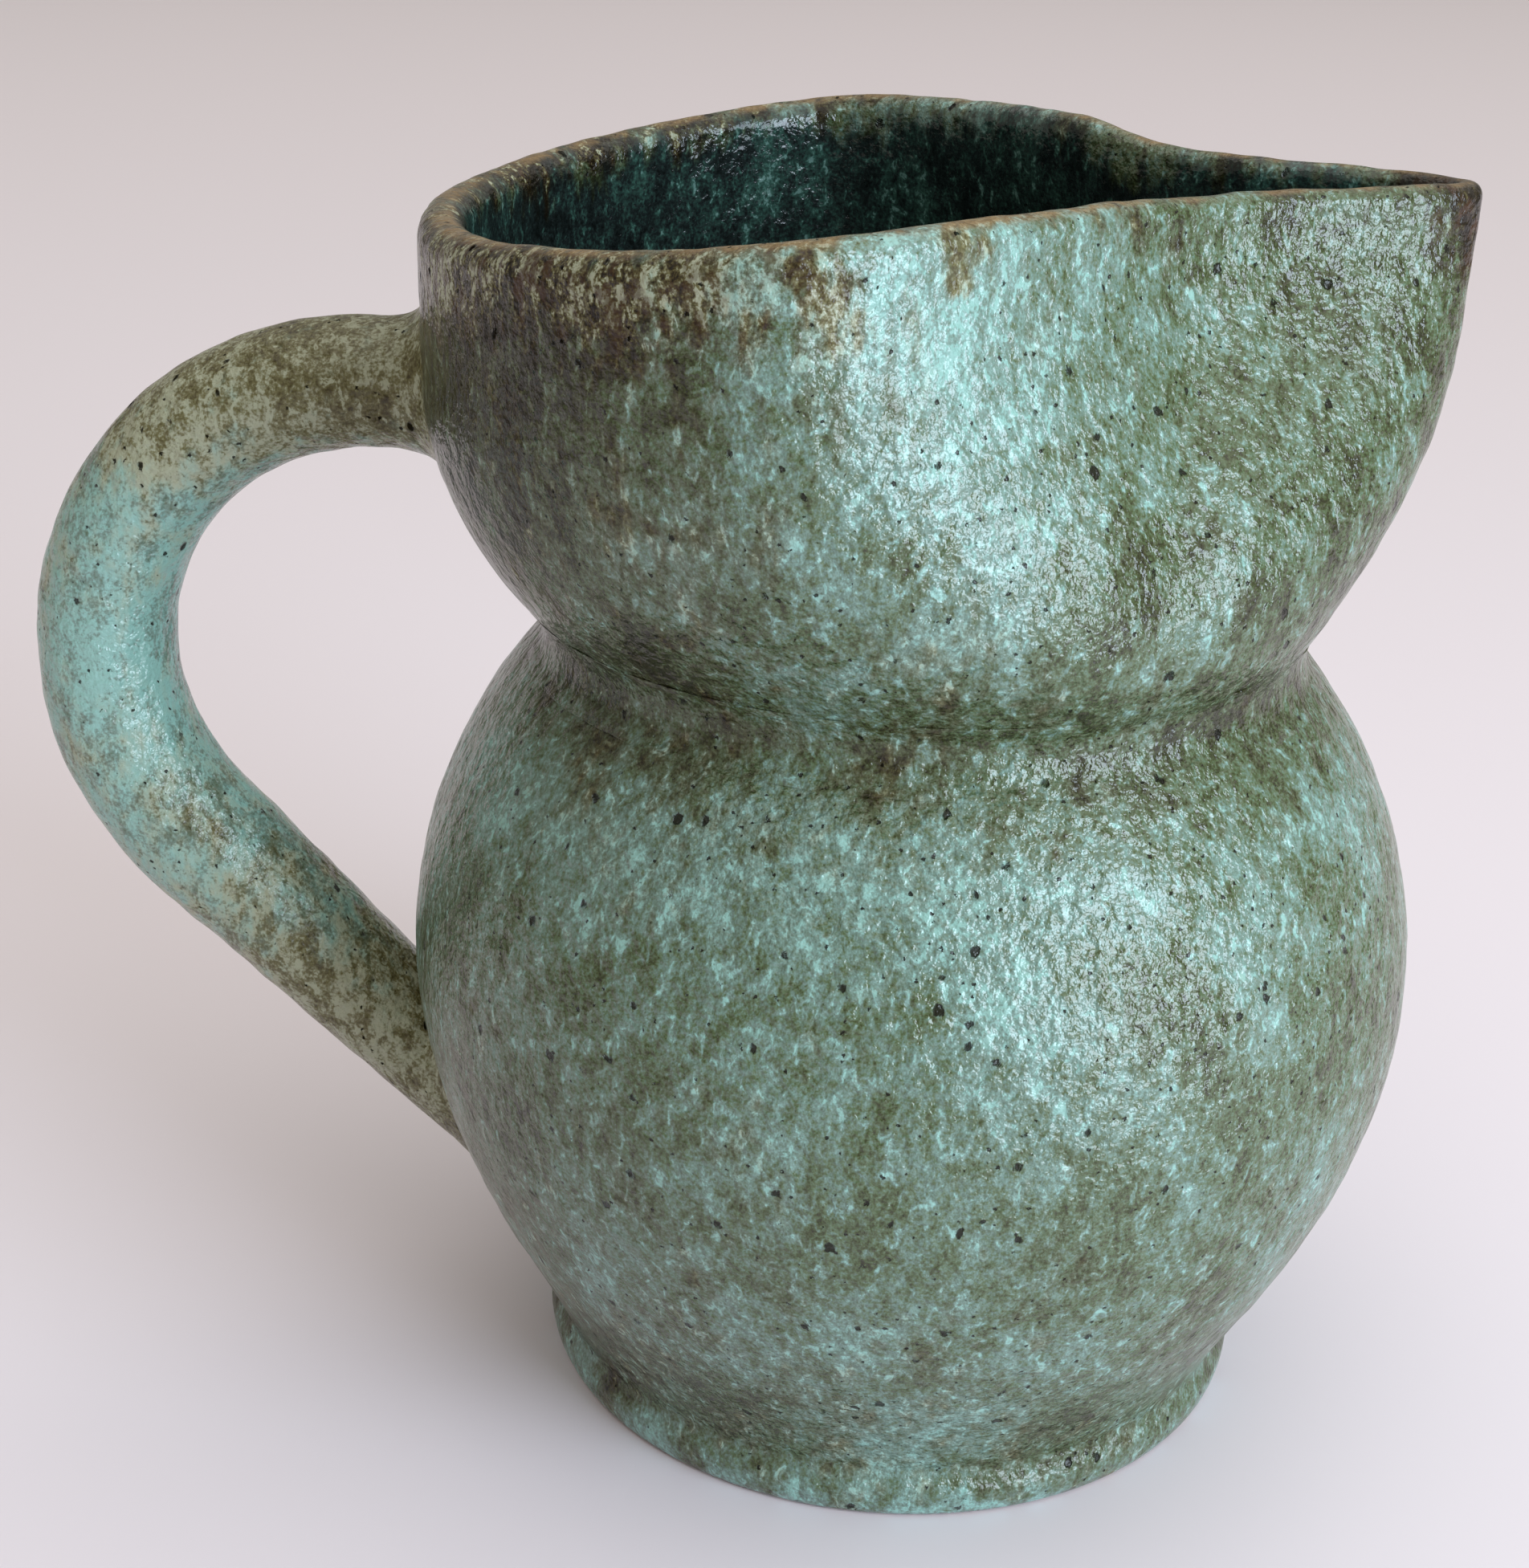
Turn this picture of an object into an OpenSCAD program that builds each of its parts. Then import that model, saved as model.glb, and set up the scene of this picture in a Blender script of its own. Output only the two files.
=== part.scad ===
// Studio pottery pouring jug: a round belly on a low foot, a tight waist, an open
// bowl whose rim is pinched into a pouring spout, and a rolled loop handle.
// +X points out of the spout, -X to the handle and +Z up.  The origin lies on the
// belly's axis at the table.  All sizes are in millimetres.

/* [Foot] */
// Height of the foot, from the table to the line where it meets the belly
foot_height = 9; // [6:0.5:14]
// Outside radius of the foot at its fullest line
foot_radius = 54.5; // [53:0.5:60]
// Outside radius of the foot where it stands on the table
foot_base_radius = 52.5; // [50:0.5:53]
// Outside radius of the line pinched in between foot and belly
foot_neck_radius = 52.5; // [48:0.5:54]

/* [Belly] */
// Outside radius of the belly at its widest line
belly_radius = 75; // [68:0.5:85]
// Height from the top of the foot to the belly's widest line
belly_lower_height = 59; // [50:1:70]
// Height from the belly's widest line to the waist
belly_upper_height = 50.5; // [44:0.5:58]
// Roundness of the lower belly: 1 is a plain round, less draws it straighter
belly_round_share = 0.925; // [0.8:0.005:1]
// Outside radius of the waist, where belly and bowl meet
waist_radius = 53.5; // [48:0.5:60]
// Thickness of the clay wall, measured level
wall = 7; // [5:0.5:9]

/* [Bowl and spout] */
// Outside radius of the bowl where its wall stands upright
bowl_radius = 72; // [66:0.5:80]
// Height from the waist to the rim on the handle side
bowl_height = 59; // [52:1:68]
// Height above the waist at which the bowl has swelled to its full radius
bowl_round_height = 38.5; // [32:0.5:48]
// How much higher the rim stands at its crest, before the spout, than on the handle side
rim_rise = 8.8; // [0:0.1:14]
// Length from the handle side over which the rim climbs to its crest
rim_rise_length = 93; // [80:1:110]
// How far the spout's edge lies below the rim's crest
spout_dip = 2.2; // [0:0.1:4]
// Length over which the rim falls from its crest to the spout's edge
spout_dip_length = 12; // [8:0.5:20]
// Outside width of the spout where its sides are fully drawn in
spout_width = 25; // [22:0.5:34]
// Length of the spout from that line to its tip
spout_length = 18; // [12:0.5:26]
// How far the spout's underside hangs back where it hangs back most, a quarter of the way up
spout_slant = 3; // [0:0.25:5]
// Length over which the bowl's sides draw in towards the spout
pinch_length = 77; // [60:1:90]
// Height above the waist at which the sides begin to draw in
pinch_foot_height = 2; // [0:0.5:20]
// Depth of the groove that a finger pressed into each side behind the spout
press_depth = 1.8; // [0:0.1:3]
// Width of this groove
press_width = 22; // [16:1:30]
// Distance from the spout's tip back to the middle of this groove
press_distance = 41; // [36:0.5:46]
// Thickness of the wall at the spout's rim
spout_wall = 4.5; // [3.5:0.25:5.5]

/* [Handle] */
// Drop from the rim to the middle of the handle's top run
handle_drop = 27.5; // [22:0.5:34]
// Least straight run of the handle between the bowl and its bend
handle_stub = 8; // [6:0.5:14]
// Least distance of the bend's centre behind the belly's widest line
handle_standoff = 5; // [3:0.5:11]
// Radius of the handle's bend, measured to the middle of the coil
handle_bend_radius = 42; // [38:0.5:48]
// Drop from the belly's widest line to where the handle's middle meets the belly
handle_root_drop = 31; // [26:0.5:36]
// Thickness of the handle at the bowl
handle_top_thickness = 18; // [15:0.5:21]
// Thickness of the handle below its bend
handle_low_thickness = 21; // [18:0.5:24]
// Thickness of the coil where it begins to spread into its lower root
handle_neck_thickness = 17.5; // [15:0.5:20]
// Width of the handle from side to side
handle_width = 21; // [16:0.5:24]
// Reach of the lower root above the point where the handle's middle meets the belly
root_rise = 23; // [18:0.5:27]
// Reach of the lower root below that point
root_fall = 15; // [11:0.5:17]
// Width of the lower root on the belly
root_width = 29; // [24:0.5:34]

/* [Pressed-in clay] */
// Height of the waist's fillet above and below the crease
waist_fillet_height = 5; // [3:0.25:6.5]
// Thickness of the waist's fillet at its upper and lower edges
waist_fillet_edge = 0.6; // [0.4:0.1:1]
// Reach of the upper root's fillet over the bowl
upper_fillet_reach = 5.5; // [3:0.25:6]
// Reach of the lower root's fillet over the belly, at its top and sides
lower_fillet_reach = 4; // [2:0.25:6]
// Extra reach of the smeared tail below the lower root
tail_reach = 7; // [3:0.5:9]
// Gap left for slip between a pressed-in piece and its seat
slip_gap = 0.3; // [0.2:0.05:0.4]

/* [Hidden] */

// Smoothness of the curves
profile_steps = 28;
turn_steps = 96;
bowl_steps = 14;
lip_steps = 6;
coil_sides = 28;
bend_steps = 18;
run_steps = 4;
fillet_steps = 4;
$fn = turn_steps;

// Heights and spans that follow from the sizes above
belly_mid = foot_height + belly_lower_height;
waist_z = belly_mid + belly_upper_height;
rim_z = waist_z + bowl_height;
crest_x = rim_rise_length - bowl_radius;
floor_radius = foot_neck_radius - wall / 2;
belly_upper_span = belly_upper_height / sqrt(1 - pow(waist_radius / belly_radius, 2));
bowl_round_span = bowl_round_height / sqrt(1 - pow(waist_radius / bowl_radius, 2));

// The pinch draws the bowl's round plan in to the spout's width
pinch_full = bowl_radius - spout_length;
pinch_start = pinch_full - pinch_length;
pinch_share = 1 - spout_width / 2 / sqrt(pow(bowl_radius, 2) - pow(pinch_full, 2));

// The handle's bend, and the tangent from it to the lower root
bend_x = -max(bowl_radius + handle_stub, belly_radius + handle_standoff);
bend_z = rim_z - handle_drop - handle_bend_radius;
root_z = belly_mid - handle_root_drop;
root_x = -belly_outside(root_z);
root_distance = norm([root_x - bend_x, root_z - bend_z]);
root_bearing = atan2(root_z - bend_z, root_x - bend_x) + 360;
leave_angle = root_bearing - acos(handle_bend_radius / root_distance);
run_length = sqrt(pow(root_distance, 2) - pow(handle_bend_radius, 2));
run_share = 0.62;
quarter_turn = 90;

// Glaze colours
glaze_body = [0.47, 0.55, 0.49];
glaze_pale = [0.55, 0.67, 0.62];
glaze_dark = [0.33, 0.38, 0.31];

// Eases from 0 to 1
function smooth(t) = let (c = max(0, min(1, t))) c * c * (3 - 2 * c);

// Point between two points
function between(a, b, t) = a + (b - a) * t;

// Point on the hollow curve from a to b that leans into the corner
function hollow(a, corner, b, t) = between(between(a, corner, t), between(corner, b, t), t);

// Outside radius of the belly at a height above the table
function belly_outside(z) = z < belly_mid ? belly_below(belly_mid - z) : belly_above(z - belly_mid);
function belly_below(drop) =
    belly_radius - (belly_radius - foot_neck_radius) * pow(drop / belly_lower_height, 2 * belly_round_share);
function belly_above(rise) = belly_radius * sqrt(1 - pow(rise / belly_upper_span, 2));

// Outside radius of the unpinched bowl at a height above the waist
function bowl_outside(rise) =
    bowl_radius * sqrt(1 - pow(max(0, bowl_round_height - rise) / bowl_round_span, 2));

// Height of the rim above the waist over a place along the jug
function rim_height(x) =
    let (climb = sin(quarter_turn * min(1, (x + bowl_radius) / rim_rise_length)),
         fall = smooth((x - crest_x) / spout_dip_length))
    bowl_height + rim_rise * climb - spout_dip * fall;

// How far the sides are drawn in, from 0 to 1, at a place along the jug and a share of the bowl's height
function pinch(x, share) =
    smooth((x - pinch_start) / pinch_length)
    * smooth((share * bowl_height - pinch_foot_height) / (bowl_height - pinch_foot_height));

// A soft bulge over the bowl's height: 0 at both ends and 1 at a quarter of the way up
function low_bulge(share) = share * pow(1 - share, 3) / (1 / 4 * pow(3 / 4, 3));

// How deep the finger's groove is at a place along the jug: full at half the bowl's height, none at the ends
function press(x, share) =
    press_depth * 4 * share * (1 - share)
    * smooth(1 - abs(x - bowl_radius + press_distance) / (press_width / 2));

// Outer plan of the bowl at a turn and a share of its height, its outward direction and its thickness
function bowl_plan(turn, share) =
    let (r = bowl_outside(share * bowl_height),
         hang = spout_slant * low_bulge(share) * smooth(cos(turn)),
         x = r * cos(turn) - hang,
         drawn = r * sin(turn) * (1 - pinch_share * pinch(x, share)))
    [x, drawn - sign(drawn) * press(x, share)];
function bowl_outward(turn, share) =
    let (step = bowl_plan(turn + 1, share) - bowl_plan(turn - 1, share))
    [step.y, -step.x] / norm(step);
function bowl_thickness(turn, share) = wall - (wall - spout_wall) * pinch(bowl_plan(turn, share).x, share);

// Height of the wall's straight part above the waist, up to where the lip rounds over
function bowl_shoulder(turn, share) =
    rim_height(bowl_plan(turn, share).x) - bowl_thickness(turn, 1) / 2;

// Share of the bowl's height at which its wall reaches a height above the waist, found by closing in
share_tries = 4;
function bowl_share(turn, rise, tries = share_tries) =
    tries == 0 ? rise / bowl_height : rise / bowl_shoulder(turn, bowl_share(turn, rise, tries - 1));

// A level line round the outside of the bowl at a height above the waist, with a gap
function bowl_level_ring(rise, gap) = [
    for (i = [0 : turn_steps - 1])
        let (turn = 360 * i / turn_steps,
             plan = bowl_plan(turn, bowl_share(turn, rise)),
             place = plan * (1 + gap / norm(plan)))
        [place.x, place.y, waist_z + rise]
];

// A level circle of points about the jug's axis
function level_ring(r, z) = [
    for (i = [0 : turn_steps - 1])
        let (turn = 360 * i / turn_steps)
        [r * cos(turn), r * sin(turn), z]
];

// One ring of the bowl: depth 0 is the outside of the wall and 1 the inside
function bowl_ring(share, depth) = [
    for (i = [0 : turn_steps - 1])
        let (turn = 360 * i / turn_steps,
             plan = bowl_plan(turn, share),
             place = plan - depth * bowl_thickness(turn, share) * bowl_outward(turn, share),
             shoulder = bowl_shoulder(turn, share))
        [place.x, place.y, waist_z + share * shoulder]
];

// One ring of the rounded lip, which turns over from the outside to the inside
function lip_ring(angle) = [
    for (i = [0 : turn_steps - 1])
        let (turn = 360 * i / turn_steps,
             plan = bowl_plan(turn, 1),
             half = bowl_thickness(turn, 1) / 2,
             place = plan + half * (cos(angle) - 1) * bowl_outward(turn, 1))
        [place.x, place.y, waist_z + rim_height(plan.x) - half + half * sin(angle)]
];

// Places on the two walls that the handle meets, straight behind a side offset and a height
function on_bowl(y, z, gap) =
    let (shoulder = rim_height(-sqrt(pow(bowl_radius, 2) - y * y)) - wall / 2,
         r = bowl_outside((z - waist_z) / shoulder * bowl_height))
    [-sqrt(r * r - y * y) - gap, y, z];
function on_belly(y, z, gap) = [-sqrt(pow(belly_outside(z), 2) - y * y) - gap, y, z];

// The handle's oval section, set across its path at a centre with an outward direction
function coil_ring(centre, outward, thickness) = [
    for (i = [0 : coil_sides - 1])
        let (turn = 360 * i / coil_sides)
        centre + outward * thickness / 2 * cos(turn) + [0, handle_width / 2 * sin(turn), 0]
];

// Outline of the upper root on the bowl, spread by a reach, and of the lower root on the belly
function upper_root(reach, gap) = [
    for (i = [0 : coil_sides - 1])
        let (turn = 360 * i / coil_sides)
        on_bowl((handle_width / 2 + reach) * sin(turn),
                bend_z + handle_bend_radius + (handle_top_thickness / 2 + reach) * cos(turn), gap)
];
function lower_root(reach, tail, gap) = [
    for (i = [0 : coil_sides - 1])
        let (turn = 360 * i / coil_sides,
             fall = cos(turn) > 0 ? root_fall + reach + tail : root_rise + reach)
        on_belly((root_width / 2 + reach) * sin(turn), root_z - fall * cos(turn), gap)
];

// Shrinks a root's outline towards the middle, to follow the wall under the handle's end
function upper_middle(share, gap) = [
    for (p = upper_root(0, gap))
        on_bowl(p.y * share, between(bend_z + handle_bend_radius, p.z, share), gap)
];
function lower_middle(share, gap) = [
    for (p = lower_root(0, 0, gap)) on_belly(p.y * share, between(root_z, p.z, share), gap)
];

// Rings round the bend and along the straight run to the belly
function bend_direction(angle) = [cos(angle), 0, sin(angle)];
function coil_thickness(share) = between(handle_top_thickness, handle_low_thickness, share);
function bend_ring(share) =
    let (out = bend_direction(between(quarter_turn, leave_angle, share)))
    coil_ring([bend_x, 0, bend_z] + out * handle_bend_radius, out, coil_thickness(share));
function run_ring(share) =
    let (out = bend_direction(leave_angle), along = [-out.z, 0, out.x])
    coil_ring([bend_x, 0, bend_z] + out * handle_bend_radius + along * run_length * share, out,
              between(handle_low_thickness, handle_neck_thickness, share / run_share));

// Moves every point of a ring away from the ring's middle
function spread(ring, gap) =
    let (middle = mean(ring)) [for (p = ring) p + gap * (p - middle) / norm(p - middle)];
function mean(ring) = [for (p = ring) 1] * ring / len(ring);
function rings_between(a, b, t) = [for (i = [0 : len(a) - 1]) between(a[i], b[i], t)];

// Triangles between the rings of a skin; the last ring joins the first where it is closed
function skin_faces(rings, sides, closed) = [
    for (j = [0 : rings - (closed ? 1 : 2)], i = [0 : sides - 1])
        let (a = j * sides + i,
             b = j * sides + (i + 1) % sides,
             c = ((j + 1) % rings) * sides + (i + 1) % sides,
             d = ((j + 1) % rings) * sides + i)
        each [[a, c, b], [a, d, c]]
];

// Skin round a closed loop of rings
module loop_skin(rings) {
    sides = len(rings[0]);
    polyhedron([for (r = rings) each r], skin_faces(len(rings), sides, true));
}

// Skin along a row of rings, with both ends closed to a middle point
module tube_skin(rings) {
    sides = len(rings[0]);
    count = len(rings);
    last = (count - 1) * sides;
    start_point = count * sides;
    points = concat([for (r = rings) each r], [mean(rings[0]), mean(rings[count - 1])]);
    ends = [for (i = [0 : sides - 1])
        each [[start_point, i, (i + 1) % sides],
              [start_point + 1, last + (i + 1) % sides, last + i]]];
    polyhedron(points, concat(skin_faces(count, sides, false), ends));
}

// Clay pressed into the corner between a root and its wall
module root_fillet(corner, wall_edge, coil_edge) {
    curve = [for (k = [1 : fillet_steps - 1])
        [for (i = [0 : coil_sides - 1])
            hollow(wall_edge[i], corner[i], coil_edge[i], k / fillet_steps)]];
    loop_skin(concat([corner, wall_edge], curve, [coil_edge]));
}

module floor_disc() {
    color(glaze_dark) cylinder(r = floor_radius, h = foot_height);
}

module foot_ring() {
    fullest = foot_height / 2;
    low = [for (i = [0 : profile_steps])
        let (a = quarter_turn * i / profile_steps)
        [between(foot_base_radius, foot_radius, sin(a)), fullest * (1 - cos(a))]];
    high = [for (i = [1 : profile_steps])
        let (t = i / profile_steps)
        [between(foot_radius, foot_neck_radius, smooth(t)), between(fullest, foot_height, t)]];
    inside = floor_radius + slip_gap;
    color(glaze_body)
        rotate_extrude()
            polygon(concat([[inside, 0]], low, high, [[inside, foot_height]]));
}

module belly_wall() {
    heights = [for (i = [0 : profile_steps]) between(foot_height, waist_z, i / profile_steps)];
    outside = [for (z = heights) [belly_outside(z), z]];
    inside = [for (i = [profile_steps : -1 : 0]) [outside[i].x - wall, outside[i].y]];
    color(glaze_body) rotate_extrude() polygon(concat(outside, inside));
}

module waist_fillet() {
    low_z = waist_z - waist_fillet_height;
    along_belly = [for (i = [0 : fillet_steps])
        let (z = between(low_z, waist_z, i / fillet_steps))
        level_ring(belly_outside(z) + slip_gap, z)];
    along_bowl = [for (i = [1 : fillet_steps])
        bowl_level_ring(waist_fillet_height * i / fillet_steps, slip_gap)];
    corner = along_belly[fillet_steps];
    top = bowl_level_ring(waist_fillet_height, slip_gap + waist_fillet_edge);
    bottom = level_ring(belly_outside(low_z) + slip_gap + waist_fillet_edge, low_z);
    face = [for (i = [0 : fillet_steps])
        [for (j = [0 : turn_steps - 1]) hollow(top[j], corner[j], bottom[j], i / fillet_steps)]];
    color(glaze_dark) loop_skin(concat(along_belly, along_bowl, face));
}

module bowl_wall() {
    outer = [for (i = [0 : bowl_steps]) bowl_ring(i / bowl_steps, 0)];
    lip = [for (i = [1 : lip_steps - 1]) lip_ring(2 * quarter_turn * i / lip_steps)];
    inner = [for (i = [bowl_steps : -1 : 0]) bowl_ring(i / bowl_steps, 1)];
    color(glaze_pale) loop_skin(concat(outer, lip, inner));
}

module handle() {
    upper_end = upper_root(0, slip_gap);
    lower_end = lower_root(0, 0, slip_gap);
    bend = [for (i = [0 : bend_steps]) bend_ring(i / bend_steps)];
    run = [for (i = [1 : run_steps]) run_ring(run_share * i / run_steps)];
    blend = [for (i = [1 : run_steps - 1]) rings_between(run[run_steps - 1], lower_end, i / run_steps)];
    color(glaze_pale)
        tube_skin(concat([upper_middle(1 / 2, slip_gap), upper_end], bend, run, blend,
                         [lower_end, lower_middle(1 / 2, slip_gap)]));
}

module upper_handle_fillet() {
    corner = upper_root(slip_gap, slip_gap);
    wall_edge = upper_root(upper_fillet_reach, slip_gap);
    climb = upper_fillet_reach / (-bend_x - bowl_radius);
    coil_edge = spread(rings_between(upper_root(0, slip_gap), bend_ring(0), climb), slip_gap);
    color(glaze_dark) root_fillet(corner, wall_edge, coil_edge);
}

module lower_handle_fillet() {
    corner = lower_root(slip_gap, 0, slip_gap);
    wall_edge = lower_root(lower_fillet_reach, tail_reach, slip_gap);
    climb = (lower_fillet_reach + tail_reach) / (run_length * (1 - run_share));
    coil_edge = spread(rings_between(lower_root(0, 0, slip_gap), run_ring(run_share), climb), slip_gap);
    color(glaze_dark) root_fillet(corner, wall_edge, coil_edge);
}

floor_disc();
foot_ring();
belly_wall();
waist_fillet();
bowl_wall();
handle();
upper_handle_fillet();
lower_handle_fillet();
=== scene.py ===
"""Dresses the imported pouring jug: a studio jug in a mottled verdigris glaze, with a pinched spout.

Every plain solid is replaced by a finely meshed piece of clay that has the slight unevenness of
hand work.  The glaze is painted by position on the whole jug, so it runs on across the joins.
Lengths are in metres, +X points out of the spout and +Z up.
"""

import logging
import math
from collections.abc import Callable
from dataclasses import dataclass
from enum import Enum
from functools import cached_property
from typing import TypeVar

import bmesh
import bpy
from mathutils import Matrix, Vector, noise


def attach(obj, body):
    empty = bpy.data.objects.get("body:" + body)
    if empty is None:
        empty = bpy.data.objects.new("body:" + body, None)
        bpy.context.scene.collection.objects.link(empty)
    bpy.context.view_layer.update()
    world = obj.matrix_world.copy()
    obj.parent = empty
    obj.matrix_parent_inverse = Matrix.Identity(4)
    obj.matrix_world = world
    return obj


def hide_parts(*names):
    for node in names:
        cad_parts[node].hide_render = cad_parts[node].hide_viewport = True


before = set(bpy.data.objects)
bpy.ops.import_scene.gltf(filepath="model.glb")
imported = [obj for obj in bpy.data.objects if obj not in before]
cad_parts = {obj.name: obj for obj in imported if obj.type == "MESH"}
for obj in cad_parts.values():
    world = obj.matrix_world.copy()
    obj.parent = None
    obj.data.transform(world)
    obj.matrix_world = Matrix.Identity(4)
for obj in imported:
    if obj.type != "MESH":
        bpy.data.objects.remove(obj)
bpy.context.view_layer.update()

LOG = logging.getLogger("pouring_jug")
MM = 0.001
FULL_TURN = 2 * math.pi
NEARLY_ONE = 1 - 1e-6
BODY = "root"
OVER_RIM = "over_rim"
FAR_FROM_RIM = 1.0

# Outlines to be spun into drums: a wall from radius 1 to radius 2, and a rod or disc of radius 1
WALL_OUTLINE = [(2, 0), (2, 1), (1, 1), (1, 0)]
ROD_OUTLINE = [(0, 0), (1, 0), (1, 1), (0, 1)]
MID_WALL = 1.5

# A drawing takes a drum's turn, radius and height to a place on the jug
Drawing = Callable[[float, float, float], Vector]
# The value at which a mask begins, and the one at which it is complete
Stretch = tuple[float, float]
Triple = tuple[float, float, float]
Measure = TypeVar("Measure", float, Vector)
Drum = bmesh.types.BMesh
Piece = bpy.types.Object
Socket = bpy.types.NodeSocket
# What a node's input is given: another node's output, or a plain value
Value = Socket | float | tuple[float, ...]


class Slot(Enum):
    """The record's material slots."""

    FOOT = "glaze_foot"
    BODY = "glaze_body"
    HANDLE = "glaze_handle"


class Coat(Enum):
    """The order of the materials on a piece that has two."""

    GLAZE = 0
    BARE = 1


def smooth(t: float) -> float:
    """Eases from 0 to 1 as t goes from 0 to 1."""
    c = max(0.0, min(1.0, t))
    return c * c * (3 - 2 * c)


def between(a: Measure, b: Measure, t: float) -> Measure:
    """Returns the value or point that lies a share t of the way from a to b."""
    return a + (b - a) * t


def hollow(a: Vector, corner: Vector, b: Vector, t: float) -> Vector:
    """Returns the point a share t along the hollow curve from a to b that leans into a corner."""
    return between(between(a, corner, t), between(corner, b, t), t)


def bent(a: Vector, corner: Vector, b: Vector, t: float) -> Vector:
    """Returns the point a share t along the two straight lines from a to a corner and on to b."""
    return between(a, corner, 2 * t) if t < 0.5 else between(corner, b, 2 * t - 1)


def round_place(turn: float, radius: float, z: float) -> Vector:
    """Returns the place at a turn round the jug, a radius and a height."""
    return Vector((radius * math.cos(turn), radius * math.sin(turn), z))


def linear(colour: str) -> tuple[float, float, float, float]:
    """Turns a screen colour into the linear colour that a shader takes.

    Args:
        colour: six hexadecimal digits, two each for red, green and blue.

    Returns:
        The linear red, green and blue, and a full alpha.
    """
    values = [int(colour[i : i + 2], 16) / 255 for i in (0, 2, 4)]
    red, green, blue = [v / 12.92 if v <= 0.04045 else ((v + 0.055) / 1.055) ** 2.4 for v in values]
    return red, green, blue, 1.0


def spun_drum(corners: list[tuple[float, float]], cuts: list[int], turns: int) -> Drum:
    """Spins an outline of a few corners round the Z axis into a plain drum, to be drawn into a piece.

    Args:
        corners: radius and height of each corner of the outline.
        cuts: the cuts along each edge; as many as there are corners makes a closed outline.
        turns: the number of columns round the drum.

    Returns:
        The drum.
    """
    same_place = 1e-7
    bm = bmesh.new()
    points = [bm.verts.new((radius, 0, height)) for radius, height in corners]
    edges = [bm.edges.new((points[i], points[(i + 1) % len(points)])) for i in range(len(cuts))]
    for edge, count in zip(edges, cuts):
        if count:
            bmesh.ops.subdivide_edges(bm, edges=[edge], cuts=count)
    bmesh.ops.spin(
        bm,
        geom=bm.verts[:] + bm.edges[:],
        cent=(0, 0, 0),
        axis=(0, 0, 1),
        angle=FULL_TURN,
        steps=turns,
        use_merge=True,
    )
    bmesh.ops.remove_doubles(bm, verts=bm.verts, dist=same_place)
    return bm


@dataclass(frozen=True)
class Wave:
    """A smooth random unevenness: its depth and span, and how the depth swings about a middle share."""

    depth: float
    span: float
    middle: float = 0.5
    swing: float = 0.5
    shift: Triple = (0.0, 0.0, 0.0)

    def at(self, place: Vector) -> float:
        """Returns the depth at a place, never below 0."""
        chance = noise.noise(place / self.span + Vector(self.shift))
        return self.depth * max(0.0, self.middle + self.swing * chance)


@dataclass(frozen=True)
class HandWork:
    """The unevenness that hands leave in clay: it only ever takes a little away from the true form."""

    sway: Wave = Wave(0.7 * MM, 55 * MM)
    settle: Wave = Wave(0.3 * MM, 55 * MM, shift=(7.3, 1.9, 4.1))
    lump: Wave = Wave(0.30 * MM, 11 * MM, swing=0.6)
    dent: Wave = Wave(0.22 * MM, 4.2 * MM, middle=0.4, swing=0.9, shift=(3.1, 8.7, 5.5))
    flat_height: float = 11 * MM
    loosening: float = 12 * MM

    def looseness(self, place: Vector) -> float:
        """Returns how far the clay has moved at a place: not at all at the foot, fully higher up."""
        return smooth((place.z - self.flat_height) / self.loosening)

    def shift(self, place: Vector) -> Vector:
        """Returns a place moved by the broad sway of the whole jug, never further out or higher up."""
        loose = self.looseness(place)
        reach = max(math.hypot(place.x, place.y), self.sway.span)
        draw = 1 - loose * self.sway.at(place) / reach
        return Vector((place.x * draw, place.y * draw, place.z - loose * self.settle.at(place)))

    def hollow_at(self, place: Vector) -> float:
        """Returns how deep the lumpy surface lies under the true one at a place."""
        return self.looseness(place) * (self.lump.at(place) + self.dent.at(place))


HANDS = HandWork()


def draw_piece(bm: Drum, drawing: Drawing) -> None:
    """Draws a drum into its piece, then leaves the marks of hands on it.

    Args:
        bm: the drum.
        drawing: where each turn, radius and height of the drum lies on the jug.
    """
    for v in bm.verts:
        turn = math.atan2(v.co.y, v.co.x)
        v.co = drawing(turn, math.hypot(v.co.x, v.co.y), v.co.z)
    bmesh.ops.recalc_face_normals(bm, faces=bm.faces)
    bm.normal_update()
    worn = [HANDS.shift(v.co) - v.normal * HANDS.hollow_at(v.co) for v in bm.verts]
    for v, place in zip(bm.verts, worn):
        v.co = place


def finish_piece(bm: Drum, name: str, nodes: list[str]) -> Piece:
    """Turns a mesh under construction into a piece that rides on the jug.

    Args:
        bm: the mesh, which is freed.
        name: the piece's name.
        nodes: the solids that it stands for.

    Returns:
        The piece.
    """
    crease = math.radians(50)
    for face in bm.faces:
        face.smooth = True
    for edge in bm.edges:
        edge.smooth = edge.calc_face_angle(0.0) < crease
    mesh = bpy.data.meshes.new(name)
    bm.to_mesh(mesh)
    bm.free()
    piece = bpy.data.objects.new(name, mesh)
    bpy.context.scene.collection.objects.link(piece)
    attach(piece, BODY)
    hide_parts(*nodes)
    LOG.info("%s: %d faces", name, len(mesh.polygons))
    return piece


def mark_rim(bm: Drum, height_over_rim: Callable[[bmesh.types.BMVert], float]) -> None:
    """Notes on every vertex how far it lies over the rim, below 0 outside and above 0 inside.

    Args:
        bm: the piece's mesh.
        height_over_rim: gives a vertex's distance over the rim, in metres.
    """
    layer = bm.verts.layers.float.new(OVER_RIM)
    for v in bm.verts:
        v[layer] = height_over_rim(v)


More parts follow.
